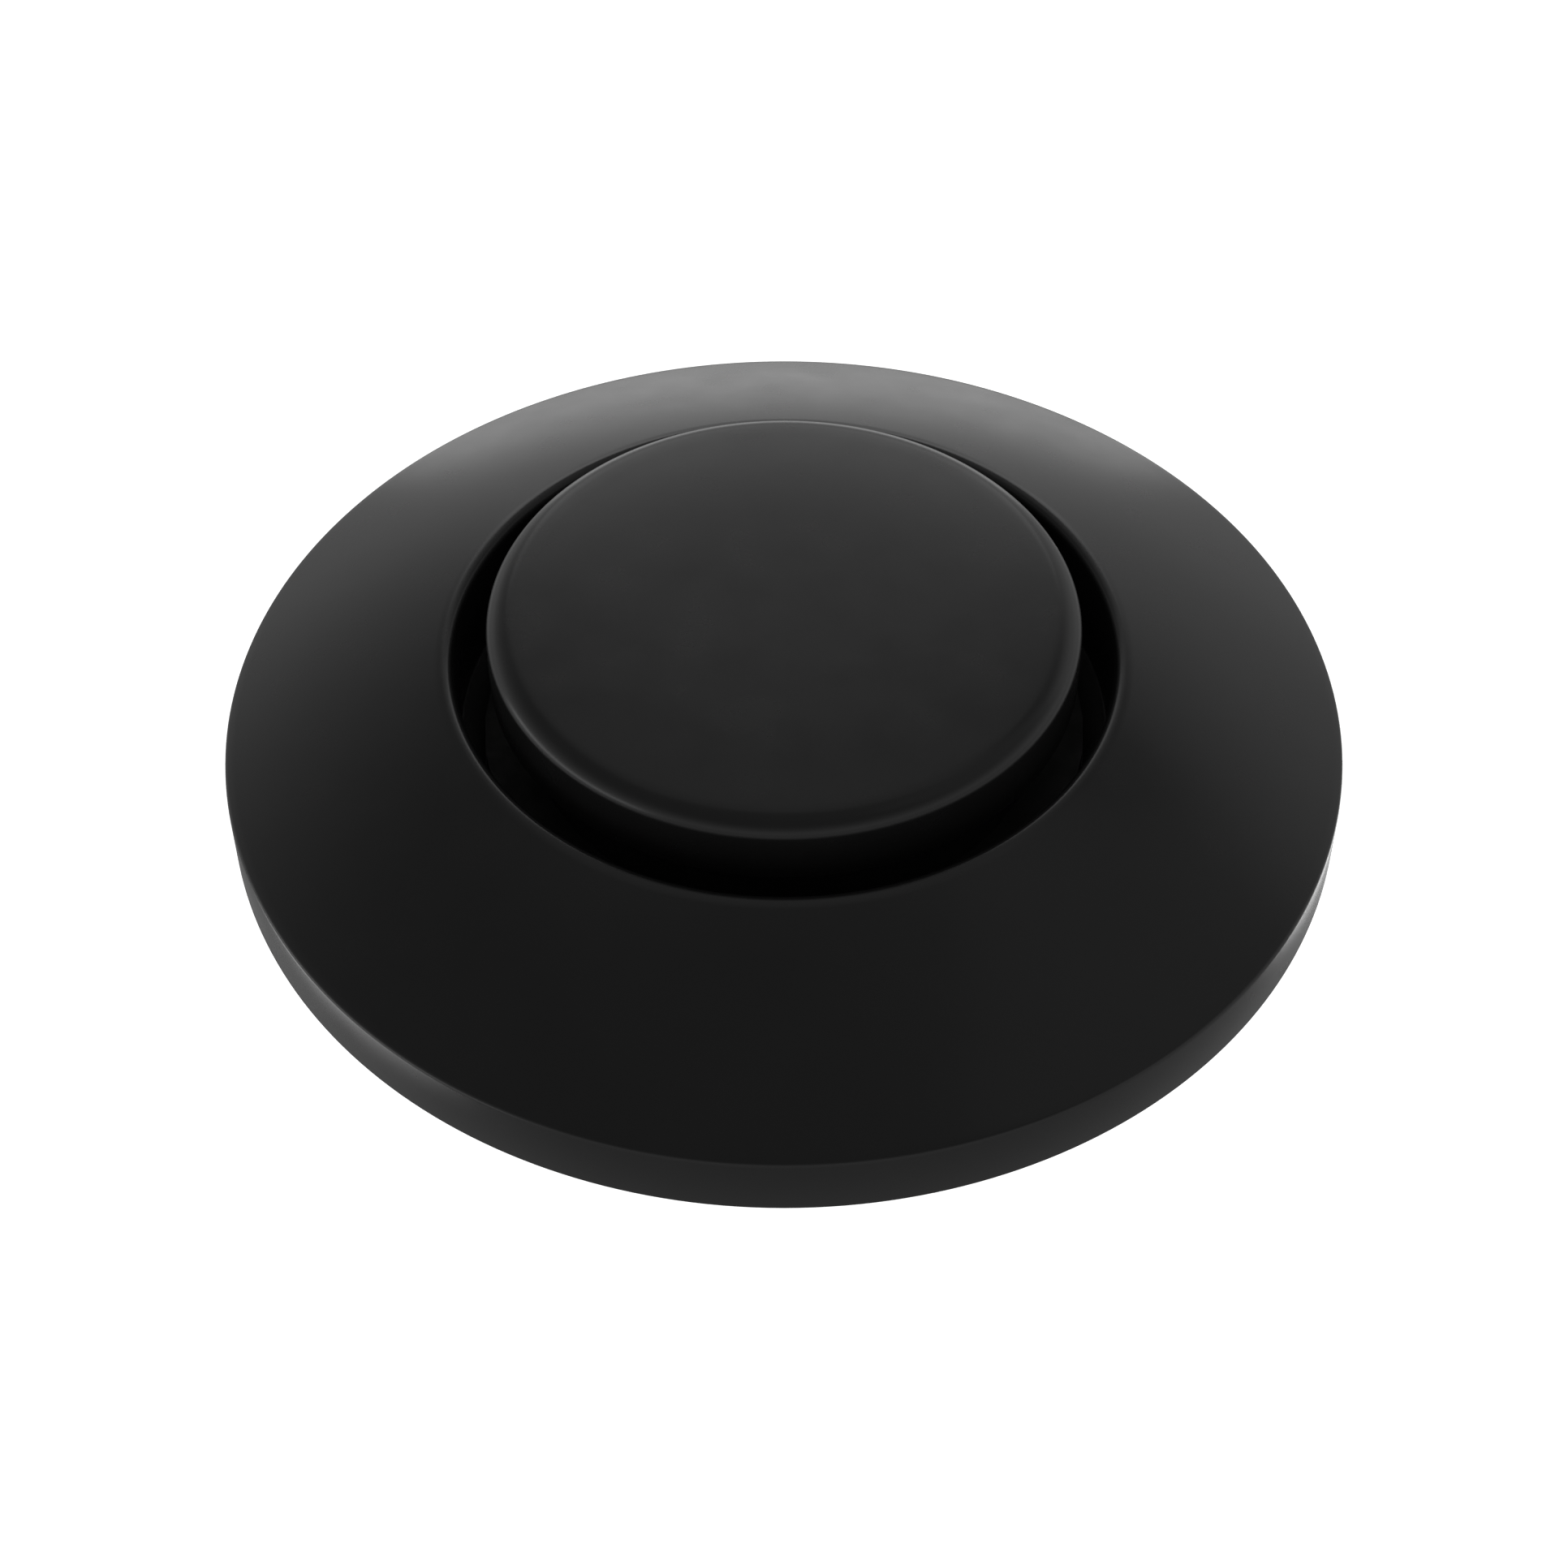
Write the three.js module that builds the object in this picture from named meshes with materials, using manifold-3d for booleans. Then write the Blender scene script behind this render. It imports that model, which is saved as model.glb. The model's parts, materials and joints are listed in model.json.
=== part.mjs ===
// Deck-mounted air switch button for a kitchen waste disposer.
//
// A finger press drives the cap and plunger down against a return spring. The plunger squeezes a rubber
// bellows, and the pulse of air leaves by the hose nipple, which a thin air hose joins to the disposer's
// power module. A threaded housing passes through a hole in the sink deck; the bezel and gasket bear on
// the deck from above, and a flanged nut with two washers clamps it from below.
//
// Millimetres, +Z up. z = 0 is the deck's top surface, and the Z axis is the button's own axis.

import * as THREE from "three";
import { mergeVertices } from "three/addons/utils/BufferGeometryUtils.js";
import Module from "manifold-3d";

// ---- Driving dimensions ------------------------------------------------------------------------------
const BEZEL_R = 24; // outside radius of the bezel
const RIM_BOTTOM = 0.5; // the gasket holds the rim this far off the deck
const RIM_TOP = 3.3; // where the rim's wall meets the domed face
const LIP_TOP = 7.55; // the domed face's highest ring, round the bore
const BEZEL_BORE_R = 14;
const CAP_R = 12.4;
const CAP_TOP = 9.74; // edge of the cap's top face, before its crown
const PRESS = 3; // travel of the cap and plunger
const SHANK_R = 14; // crest of the external thread
const SHANK_END = -13.5;
const THREAD_PITCH = 2;
const DECK = 2.2; // thickness of the deck that the washers stand ready for
const NIPPLE_END = -29;

// ---- Shared values -----------------------------------------------------------------------------------
const FIT = 0.05; // gap between pieces that touch
const FINE = 64; // sides of a large turned piece
const MEDIUM = 40;
const COARSE = 32;
const SMALL = 16; // sides of a small turned piece
const ARC_STEPS = 2; // chords in a small round

// ---- Geometry helpers --------------------------------------------------------------------------------
const wasm = await Module();
wasm.setup();

/** Turns a closed outline of [radius, z] points, given anticlockwise, about the Z axis. */
function turned(outline, sides) {
  const points = outline.map(([radius, z]) => new THREE.Vector2(radius, z));
  return new THREE.LatheGeometry(points, sides).rotateX(Math.PI / 2);
}

/** A closed ring outline: its first point is repeated at the end. */
function ring(points) {
  return [...points, points[0]];
}

/** Points of an arc about (radius, z), from one angle to another in degrees. */
function arc(radius, z, size, from, to, steps = ARC_STEPS) {
  const curve = new THREE.EllipseCurve(
    radius, z, size, size, THREE.MathUtils.degToRad(from), THREE.MathUtils.degToRad(to), to < from,
  );
  return curve.getPoints(steps).map((p) => [p.x, p.y]);
}

/** Points of a shallow bow from one point to another, standing proud of the chord by rise. */
function bow(from, to, rise, steps) {
  const chord = new THREE.Vector2(to[0] - from[0], to[1] - from[1]);
  const normal = new THREE.Vector2(chord.y, -chord.x).normalize();
  const middle = new THREE.Vector2(...from).addScaledVector(chord, 0.5).addScaledVector(normal, 2 * rise);
  const ends = [new THREE.Vector2(...from), new THREE.Vector2(...to)];
  const curve = new THREE.QuadraticBezierCurve(ends[0], middle, ends[1]);
  return curve.getPoints(steps).map((p) => [p.x, p.y]);
}

/** An O-ring, as a torus about the Z axis. */
function torus(radius, z, wire, sides, wireSides = 6) {
  return new THREE.TorusGeometry(radius, wire, wireSides, sides).translate(0, 0, z);
}

function cylinder(radius, bottom, top, sides, x = 0, y = 0) {
  return new THREE.CylinderGeometry(radius, radius, top - bottom, sides)
    .rotateX(Math.PI / 2)
    .translate(x, y, (top + bottom) / 2);
}

function box(x0, x1, y0, y1, z0, z1) {
  return new THREE.BoxGeometry(x1 - x0, y1 - y0, z1 - z0)
    .translate((x0 + x1) / 2, (y0 + y1) / 2, (z0 + z1) / 2);
}

/** A closed three.js geometry as a manifold-3d solid. */
function solid(geometry) {
  const bare = new THREE.BufferGeometry().setAttribute("position", geometry.getAttribute("position"));
  if (geometry.index) bare.setIndex(geometry.index);
  const merged = mergeVertices(bare, 1e-4);
  return new wasm.Manifold(new wasm.Mesh({
    numProp: 3,
    vertProperties: merged.getAttribute("position").array,
    triVerts: new Uint32Array(merged.index.array),
  }));
}

/** A manifold-3d solid as a three.js geometry. */
function geometryOf(manifold) {
  const mesh = manifold.getMesh();
  const geometry = new THREE.BufferGeometry();
  geometry.setAttribute("position", new THREE.BufferAttribute(mesh.vertProperties, mesh.numProp));
  geometry.setIndex(new THREE.BufferAttribute(mesh.triVerts, 1));
  geometry.computeVertexNormals();
  return geometry;
}

/** base with every geometry in added joined on, then every geometry in cut taken away. */
function combined(base, added, cut) {
  let whole = solid(base);
  for (const piece of added) whole = whole.add(solid(piece));
  for (const piece of cut) whole = whole.subtract(solid(piece));
  return geometryOf(whole);
}

/** Places on a circle: calls make(x, y, angle) once for each of count. */
function around(count, radius, make, start = 0) {
  return Array.from({ length: count }, (_, i) => {
    const angle = start + (i * 2 * Math.PI) / count;
    return make(radius * Math.cos(angle), radius * Math.sin(angle), angle);
  });
}

/**
 * A right-handed helical ridge. root and crest are its radii, rootWidth and crestWidth its widths along Z,
 * and phase the height of its centre line at angle 0. It runs from bottom to top, ends included.
 */
function helicalRidge({ root, crest, rootWidth, crestWidth, phase, bottom, top, sides }) {
  const section = [
    [root, -rootWidth / 2], [crest, -crestWidth / 2], [crest, crestWidth / 2], [root, rootWidth / 2],
  ];
  if (crest < root) section.reverse();
  const low = bottom + rootWidth / 2 - phase;
  const high = top - rootWidth / 2 - phase;
  const steps = Math.floor(((high - low) / THREAD_PITCH) * sides);
  const positions = [];
  for (let i = 0; i <= steps; i += 1) {
    const z = low + (i * THREAD_PITCH) / sides;
    const angle = (z / THREAD_PITCH) * 2 * Math.PI;
    for (const [radius, dz] of section) {
      positions.push(radius * Math.cos(angle), radius * Math.sin(angle), z + phase + dz);
    }
  }
  const n = section.length;
  const faces = [];
  for (let i = 0; i < steps; i += 1) {
    for (let j = 0; j < n; j += 1) {
      const a = i * n + j;
      const b = i * n + ((j + 1) % n);
      faces.push(a, a + n, b, b, a + n, b + n);
    }
  }
  const last = steps * n;
  faces.push(0, 1, 2, 0, 2, 3, last, last + 2, last + 1, last, last + 3, last + 2);
  const geometry = new THREE.BufferGeometry();
  geometry.setAttribute("position", new THREE.Float32BufferAttribute(positions, 3));
  geometry.setIndex(faces);
  return geometry;
}

// ---- Materials ---------------------------------------------------------------------------------------
const satinBlack = new THREE.MeshStandardMaterial({ color: 0x1c1c1c, roughness: 0.42, metalness: 0 });
const blackNylon = new THREE.MeshStandardMaterial({ color: 0x202022, roughness: 0.55, metalness: 0 });
const greyAcetal = new THREE.MeshStandardMaterial({ color: 0x2a2b2d, roughness: 0.5, metalness: 0 });
const blackRubber = new THREE.MeshStandardMaterial({ color: 0x121212, roughness: 0.9, metalness: 0 });
const springSteel = new THREE.MeshStandardMaterial({ color: 0xb4b7ba, roughness: 0.3, metalness: 1 });
const screwSteel = new THREE.MeshStandardMaterial({ color: 0x9a9da0, roughness: 0.35, metalness: 1 });
const brass = new THREE.MeshStandardMaterial({ color: 0xb08d4a, roughness: 0.3, metalness: 1 });

// ---- Screws that hold the bezel on the housing -------------------------------------------------------
const SCREW_COUNT = 3;
const SCREW_CIRCLE_R = 18.5;
const SCREW = { shankR: 1, headR: 1.9, headH: 1.1, top: 4.85, headSeat: 2.2 };

// ---- Housing dimensions ------------------------------------------------------------------------------
const HOUSING_FLANGE = { r: 22, bottom: 1, top: 3 };
const CORE_R = 13.15; // root of the external thread
const CHAMBER_R = 12;
const SHOULDER_Z = 0; // the plunger's stop flange rests under this shoulder
const GUIDE_R = 11.1;
const SEAL_POCKET = { r: 13, floor: 2 };
const BEZEL_SEAL_GROOVE = { inner: 14.3, outer: 15.3, floor: 2.2 };

function bezel() {
  const edge = 0.28; // round of the rim's top edge
  const lip = 0.35; // round of the bore's lip
  const pocketR = HOUSING_FLANGE.r + 0.2;
  const ledge = HOUSING_FLANGE.top + FIT;
  const shell = 1.3; // thickness of the domed face
  const hubR = 15.6;
  const domeRise = 0.2;
  const faceEdge = [BEZEL_R - edge * 0.55, RIM_TOP + edge * 0.4];
  const faceLip = [BEZEL_BORE_R + lip, LIP_TOP];
  const outline = ring([
    [BEZEL_R, RIM_BOTTOM],
    ...arc(BEZEL_R - edge, RIM_TOP - edge / 2, edge, 0, 60),
    ...bow(faceEdge, faceLip, domeRise, 4),
    ...arc(BEZEL_BORE_R + lip, LIP_TOP - lip, lip, 100, 180),
    [BEZEL_BORE_R, ledge],
    [hubR, ledge],
    [hubR, LIP_TOP - shell - 0.55],
    [pocketR - 1.2, ledge],
    [pocketR, ledge],
    [pocketR, RIM_BOTTOM],
  ]);
  const bossTop = 5;
  const bosses = around(SCREW_COUNT, SCREW_CIRCLE_R,
    (x, y) => cylinder(2, ledge, bossTop, SMALL, x, y));
  const holes = around(SCREW_COUNT, SCREW_CIRCLE_R,
    (x, y) => cylinder(SCREW.shankR + FIT, 0, SCREW.top + 0.1, SMALL, x, y));
  return combined(turned(outline, FINE), bosses, holes);
}

function buttonCap() {
  const round = 0.75;
  const crown = 0.2;
  const skirtBottom = HOUSING_FLANGE.top + PRESS + 0.6;
  const ceiling = CAP_TOP - 1.5;
  const innerR = 11.1;
  return turned([
    [0, ceiling],
    [innerR, ceiling],
    [innerR, skirtBottom],
    [CAP_R, skirtBottom],
    ...arc(CAP_R - round, CAP_TOP - round, round, 0, 90, 4),
    [(CAP_R - round) / 2, CAP_TOP + crown * 0.75],
    [0, CAP_TOP + crown],
  ], FINE);
}

// ---- Plunger and what it carries ---------------------------------------------------------------------
const PLUNGER = { r: 10.9, wallR: 9.7, ceiling: 6.7, top: 8.2, stopR: 11.75, bottom: -1.5, grooveR: 10.35 };
const GRIP_RING = { z: 7.4, wire: 0.36 };

function plunger() {
  const { r, wallR, ceiling, top, stopR, bottom, grooveR } = PLUNGER;
  const grooveHalf = GRIP_RING.wire + FIT;
  const stopTop = SHOULDER_Z - FIT;
  return turned([
    [0, ceiling],
    [wallR, ceiling],
    [wallR, bottom],
    [stopR, bottom],
    [stopR, stopTop],
    [r, stopTop],
    [r, GRIP_RING.z - grooveHalf],
    [grooveR, GRIP_RING.z - grooveHalf],
    [grooveR, GRIP_RING.z + grooveHalf],
    [r, GRIP_RING.z + grooveHalf],
    [r, top],
    [0, top],
  ], COARSE);
}

function capGripRing() {
  return torus(PLUNGER.grooveR + GRIP_RING.wire + 0.02, GRIP_RING.z, GRIP_RING.wire, COARSE);
}

// ---- Housing -----------------------------------------------------------------------------------------
function threadedHousing() {
  const chamfer = 0.5;
  const outline = ring([
    [CHAMBER_R, SHANK_END],
    [CORE_R - chamfer / 2, SHANK_END],
    [CORE_R, SHANK_END + chamfer],
    [CORE_R, HOUSING_FLANGE.bottom],
    [HOUSING_FLANGE.r, HOUSING_FLANGE.bottom],
    [HOUSING_FLANGE.r, HOUSING_FLANGE.top],
    [BEZEL_SEAL_GROOVE.outer, HOUSING_FLANGE.top],
    [BEZEL_SEAL_GROOVE.outer, BEZEL_SEAL_GROOVE.floor],
    [BEZEL_SEAL_GROOVE.inner, BEZEL_SEAL_GROOVE.floor],
    [BEZEL_SEAL_GROOVE.inner, HOUSING_FLANGE.top],
    [SEAL_POCKET.r, HOUSING_FLANGE.top],
    [SEAL_POCKET.r, SEAL_POCKET.floor],
    [GUIDE_R, SEAL_POCKET.floor],
    [GUIDE_R, SHOULDER_Z],
    [CHAMBER_R, SHOULDER_Z],
  ]);
  const thread = helicalRidge({
    root: CORE_R - 0.3, crest: SHANK_R, rootWidth: 1.5, crestWidth: 0.6, phase: 0,
    bottom: SHANK_END + 0.2, top: HOUSING_FLANGE.bottom - 0.5, sides: 28,
  });
  const holes = around(SCREW_COUNT, SCREW_CIRCLE_R,
    (x, y) => cylinder(SCREW.shankR + 0.1, 0, 4, SMALL, x, y));
  const headPockets = around(SCREW_COUNT, SCREW_CIRCLE_R,
    (x, y) => cylinder(SCREW.headR + 0.2, 0, SCREW.headSeat, SMALL, x, y));
  return combined(turned(outline, MEDIUM), [thread], [...holes, ...headPockets]);
}

function splashSeal() {
  const lipR = PLUNGER.r + FIT;
  const floor = SEAL_POCKET.floor + FIT;
  const top = HOUSING_FLANGE.top;
  return turned(ring([
    [lipR + 0.55, floor],
    [SEAL_POCKET.r - FIT, floor],
    [SEAL_POCKET.r - FIT, top],
    [lipR, top],
    [lipR, top - 0.35],
  ]), MEDIUM);
}

function bezelSeal() {
  const { inner, outer, floor } = BEZEL_SEAL_GROOVE;
  const wire = 0.37;
  return torus((inner + outer) / 2, floor + wire + 0.02, wire, MEDIUM);
}

function bezelScrew(x, y) {
  const { shankR, headR, headH, top, headSeat } = SCREW;
  const body = turned([
    [0, headSeat - headH],
    [headR * 0.8, headSeat - headH],
    [headR, headSeat - headH + 0.3],
    [headR, headSeat - FIT],
    [shankR, headSeat - FIT],
    [shankR, top - 0.4],
    [shankR * 0.6, top],
    [0, top],
  ], SMALL);
  const drive = { arm: 1.1, half: 0.2, bottom: headSeat - headH - 1, top: headSeat - headH + 0.6 };
  const slots = [
    box(-drive.arm, drive.arm, -drive.half, drive.half, drive.bottom, drive.top),
    box(-drive.half, drive.half, -drive.arm, drive.arm, drive.bottom, drive.top),
  ];
  return combined(body, [], slots).translate(x, y, 0);
}

// ---- Bellows, spring and end plug --------------------------------------------------------------------
const PLUG_TOP = -11;
const BELLOWS = { top: PLUNGER.ceiling - FIT, folds: 4, crestR: 8.3, rootR: 6.4, wall: 0.6, portR: 2 };
const BELLOWS_FOOT = { r: 10.3, top: PLUG_TOP + 1 };
const CLAMP = { inner: 8.6, outer: 11.7, bottom: BELLOWS_FOOT.top + FIT, top: BELLOWS_FOOT.top + 0.85 };

/** Zigzag of crests and roots from bottom to top, each radius less inset. */
function folds(bottom, top, inset) {
  const { crestR, rootR } = BELLOWS;
  const count = BELLOWS.folds * 2;
  return Array.from({ length: count + 1 }, (_, i) => [
    (i % 2 ? crestR : rootR) - inset,
    bottom + ((top - bottom) * i) / count,
  ]);
}

function bellows() {
  const { top, wall, portR } = BELLOWS;
  const foldBottom = BELLOWS_FOOT.top + 0.4;
  const foldTop = top - 1.2;
  return turned([
    [0, top - wall],
    ...folds(foldBottom, foldTop, wall).reverse(),
    [portR, PLUG_TOP + wall],
    [portR, PLUG_TOP],
    [BELLOWS_FOOT.r, PLUG_TOP],
    [BELLOWS_FOOT.r, BELLOWS_FOOT.top],
    [BELLOWS.crestR, BELLOWS_FOOT.top],
    ...folds(foldBottom, foldTop, 0),
    [BELLOWS.rootR, top],
    [0, top],
  ], COARSE);
}

/** Coil centre line of a compression spring with a closed coil at each end. */
class SpringPath extends THREE.Curve {
  constructor(radius, bottom, top, turns, closedPitch) {
    super();
    Object.assign(this, { radius, bottom, top, turns, closedPitch });
  }

  getPoint(t, target = new THREE.Vector3()) {
    const turn = t * this.turns;
    const open = this.turns - 2;
    const openPitch = (this.top - this.bottom - 2 * this.closedPitch) / open;
    const fromBottom = Math.min(turn, 1) * this.closedPitch;
    const middle = THREE.MathUtils.clamp(turn - 1, 0, open) * openPitch;
    const fromTop = Math.max(turn - 1 - open, 0) * this.closedPitch;
    const angle = turn * 2 * Math.PI;
    return target.set(
      this.radius * Math.cos(angle), this.radius * Math.sin(angle),
      this.bottom + fromBottom + middle + fromTop,
    );
  }
}

function returnSpring() {
  const wire = 0.4;
  const coilR = 9.1;
  const turns = 7;
  const bottom = CLAMP.top + wire + FIT;
  const top = PLUNGER.ceiling - wire - FIT;
  const path = new SpringPath(coilR, bottom, top, turns, 2 * wire + 0.1);
  const section = new THREE.Shape(new THREE.EllipseCurve(0, 0, wire, wire).getPoints(6).slice(0, 6));
  return new THREE.ExtrudeGeometry(section, { steps: turns * 16, bevelEnabled: false, extrudePath: path });
}

function bellowsClampRing() {
  const { inner, outer, bottom, top } = CLAMP;
  return turned(ring([[inner, bottom], [outer, bottom], [outer, top], [inner, top]]), COARSE);
}

const PLUG = {
  spigotR: 11.9,
  flangeR: 13,
  flangeTop: SHANK_END - FIT,
  flangeBottom: -15,
  hubR: 5.5,
  hubEnd: -17.2,
};
const PLUG_GROOVE = { r: 11.2, bottom: -12.95, top: -12.05 };
const NIPPLE = { stemR: 2.9, stemTop: -13.2, hexTop: -17.8, hexBottom: -20.3, hexFlats: 8, boreR: 1 };

function endPlug() {
  const { spigotR, flangeR, flangeTop, flangeBottom, hubR, hubEnd } = PLUG;
  const socketR = NIPPLE.stemR + FIT;
  const airwayR = 1.5;
  const body = turned(ring([
    [airwayR, PLUG_TOP - FIT],
    [airwayR, NIPPLE.stemTop + FIT],
    [socketR, NIPPLE.stemTop + FIT],
    [socketR, hubEnd],
    [hubR, hubEnd],
    [hubR, flangeBottom],
    [flangeR - 0.3, flangeBottom],
    [flangeR, flangeBottom + 0.3],
    [flangeR, flangeTop],
    [spigotR, flangeTop],
    [spigotR, PLUG_GROOVE.bottom],
    [PLUG_GROOVE.r, PLUG_GROOVE.bottom],
    [PLUG_GROOVE.r, PLUG_GROOVE.top],
    [spigotR, PLUG_GROOVE.top],
    [spigotR, PLUG_TOP - FIT],
  ]), COARSE);
  const gusset = { sunk: 0.6, length: 5, half: 0.6, bottom: flangeBottom - 1.2, top: flangeBottom + 0.4 };
  const gussets = around(6, hubR, (x, y, angle) => (
    box(-gusset.sunk, gusset.length, -gusset.half, gusset.half, gusset.bottom, gusset.top)
      .rotateZ(angle)
      .translate(x, y, 0)
  ));
  return combined(body, gussets, []);
}

function endPlugSeal() {
  const wire = 0.36;
  return torus(PLUG_GROOVE.r + wire + 0.02, (PLUG_GROOVE.bottom + PLUG_GROOVE.top) / 2, wire, COARSE);
}

function hoseNipple() {
  const { stemR, stemTop, hexTop, hexBottom, hexFlats, boreR } = NIPPLE;
  const neckR = 1.7;
  const barbR = 2.3;
  const barbs = 3;
  const barbPitch = 2.3;
  const barbsTop = NIPPLE_END + barbs * barbPitch;
  const barbOutline = Array.from({ length: barbs }, (_, i) => {
    const bottom = NIPPLE_END + i * barbPitch;
    return [[neckR - 0.1, bottom], [barbR, bottom + barbPitch * 0.75], [neckR, bottom + barbPitch * 0.8]];
  }).flat();
  const body = turned(ring([
    [boreR, stemTop],
    [boreR, NIPPLE_END],
    ...barbOutline,
    [neckR, barbsTop],
    [neckR, hexBottom + 0.5],
    [stemR, hexBottom + 0.5],
    [stemR, stemTop],
  ]), SMALL);
  const hex = cylinder(hexFlats / Math.sqrt(3), hexBottom, hexTop, 6);
  const bore = cylinder(boreR, NIPPLE_END - 1, stemTop + 1, SMALL);
  return combined(body, [hex], [bore]);
}

function nippleSeal() {
  const inner = NIPPLE.stemR + FIT;
  return turned(ring([
    [inner, NIPPLE.hexTop], [4.2, NIPPLE.hexTop], [4.2, PLUG.hubEnd], [inner, PLUG.hubEnd],
  ]), SMALL);
}

// ---- Deck gasket, washers and nut --------------------------------------------------------------------
const RING_BORE_R = SHANK_R + 0.35;
const DECK_WASHER = { top: -DECK, h: 1.5, r: 19.5 };
const THRUST_WASHER = { top: DECK_WASHER.top - DECK_WASHER.h, h: 0.8, r: 19 };
const NUT = {
  top: THRUST_WASHER.top - THRUST_WASHER.h - FIT,
  h: 5,
  flangeR: 18,
  flangeH: 1.3,
  bodyR: 16.3,
  ribR: 17,
};

function flatRing(inner, outer, bottom, top) {
  return turned(ring([[inner, bottom], [outer, bottom], [outer, top], [inner, top]]), MEDIUM);
}

function washer({ top, h, r }) {
  return flatRing(RING_BORE_R, r, top - h, top);
}

function deckGasket() {
  return flatRing(SHANK_R + 0.4, HOUSING_FLANGE.r - 0.2, 0, HOUSING_FLANGE.bottom - FIT);
}

function mountingNut() {
  const { top, h, flangeR, flangeH, bodyR, ribR } = NUT;
  const bottom = top - h;
  const boreR = SHANK_R + 0.3;
  const body = turned(ring([
    [boreR, bottom + 0.4],
    [boreR + 0.4, bottom],
    [bodyR - 0.3, bottom],
    [bodyR, bottom + 0.3],
    [bodyR, top - flangeH],
    [flangeR, top - flangeH],
    [flangeR, top],
    [boreR, top],
  ]), MEDIUM);
  const rib = { sunk: 0.4, half: 0.9, bottom: bottom + 0.3, top: top - flangeH + 0.2 };
  const ribs = around(12, bodyR, (x, y, angle) => (
    box(-rib.sunk, ribR - bodyR, -rib.half, rib.half, rib.bottom, rib.top).rotateZ(angle).translate(x, y, 0)
  ));
  const thread = helicalRidge({
    root: boreR + 0.25, crest: SHANK_R - 0.55, rootWidth: 1.4, crestWidth: 0.5, phase: THREAD_PITCH / 2,
    bottom: bottom + 0.1, top: top - 0.1, sides: 28,
  });
  return combined(body, [...ribs, thread], []);
}

// ---- Assembly ----------------------------------------------------------------------------------------
const assembly = new THREE.Group();

function place(parent, name, geometry, material) {
  const mesh = new THREE.Mesh(geometry, material);
  mesh.name = name;
  parent.add(mesh);
}

const fixed = new THREE.Group();
place(fixed, "bezel", bezel(), satinBlack);
place(fixed, "threaded_housing", threadedHousing(), blackNylon);
place(fixed, "bezel_seal", bezelSeal(), blackRubber);
place(fixed, "splash_seal", splashSeal(), blackRubber);
place(fixed, "deck_gasket", deckGasket(), blackRubber);
place(fixed, "bellows", bellows(), blackRubber);
place(fixed, "return_spring", returnSpring(), springSteel);
place(fixed, "bellows_clamp_ring", bellowsClampRing(), greyAcetal);
place(fixed, "end_plug", endPlug(), blackNylon);
place(fixed, "end_plug_seal", endPlugSeal(), blackRubber);
place(fixed, "hose_nipple", hoseNipple(), brass);
place(fixed, "nipple_seal", nippleSeal(), blackRubber);
around(SCREW_COUNT, SCREW_CIRCLE_R, (x, y) => [x, y]).forEach(([x, y], i) => {
  place(fixed, `bezel_screw_${i + 1}`, bezelScrew(x, y), screwSteel);
});

const button = new THREE.Group();
place(button, "button_cap", buttonCap(), satinBlack);
place(button, "plunger", plunger(), greyAcetal);
place(button, "cap_grip_ring", capGripRing(), blackRubber);

const washers = new THREE.Group();
place(washers, "deck_washer", washer(DECK_WASHER), blackRubber);
place(washers, "thrust_washer", washer(THRUST_WASHER), greyAcetal);

const nut = new THREE.Group();
place(nut, "mounting_nut", mountingNut(), blackNylon);

assembly.add(fixed, button, washers, nut);

export default assembly;
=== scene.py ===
"""Looks for a deck-mounted air switch button: a satin black bezel and cap over a threaded body with its nut.

Lengths in the modelling functions are millimetres in the part's own frame, with z = 0 at the deck's top
surface. They become metres when a mesh is made.
"""

import json
import math

import bmesh
import bpy
from mathutils import Matrix, Vector


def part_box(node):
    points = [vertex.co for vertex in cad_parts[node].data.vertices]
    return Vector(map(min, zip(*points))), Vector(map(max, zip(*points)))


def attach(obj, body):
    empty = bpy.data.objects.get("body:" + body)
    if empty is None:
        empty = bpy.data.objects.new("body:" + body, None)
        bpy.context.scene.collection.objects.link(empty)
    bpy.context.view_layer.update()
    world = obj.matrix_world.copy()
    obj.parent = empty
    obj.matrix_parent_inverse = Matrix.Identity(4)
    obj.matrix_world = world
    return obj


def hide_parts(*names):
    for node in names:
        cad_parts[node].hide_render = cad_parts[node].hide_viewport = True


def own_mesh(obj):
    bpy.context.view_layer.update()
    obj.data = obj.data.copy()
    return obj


MM = 0.001
TAU = 2 * math.pi

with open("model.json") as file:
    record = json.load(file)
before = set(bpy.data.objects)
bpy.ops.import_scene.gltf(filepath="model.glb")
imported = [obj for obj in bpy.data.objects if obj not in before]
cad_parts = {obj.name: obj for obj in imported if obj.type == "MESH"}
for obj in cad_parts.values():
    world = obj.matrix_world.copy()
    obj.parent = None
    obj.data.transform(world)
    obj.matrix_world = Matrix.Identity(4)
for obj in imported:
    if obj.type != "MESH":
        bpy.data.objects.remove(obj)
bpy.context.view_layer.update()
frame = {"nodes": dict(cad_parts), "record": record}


def extent(node):
    """Outer radius, lowest z and highest z of a CAD node, in millimetres."""
    low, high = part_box(node)
    return max(high.x, -low.x) / MM, low.z / MM, high.z / MM


BEZEL_R, RIM_BOTTOM, BEZEL_TOP = extent("bezel")
CAP_R, SKIRT_BOTTOM, CAP_TOP = extent("button_cap")
FLANGE_R, SHANK_END, FLANGE_TOP = extent("threaded_housing")
RIM_TOP = RIM_BOTTOM + 2.8  # where the rim's wall meets the domed face
BORE_R = 14.0
PITCH = 2.0
SCREWS = ("bezel_screw_1", "bezel_screw_2", "bezel_screw_3")
SCREW_TOP = extent(SCREWS[0])[2]
SHARP_ABOVE = math.radians(32)  # edges that turn more than this are shaded sharp


# ---- Mesh helpers ------------------------------------------------------------------------------------
def clamp(value, low=0.0, high=1.0):
    return max(low, min(high, value))


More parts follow.
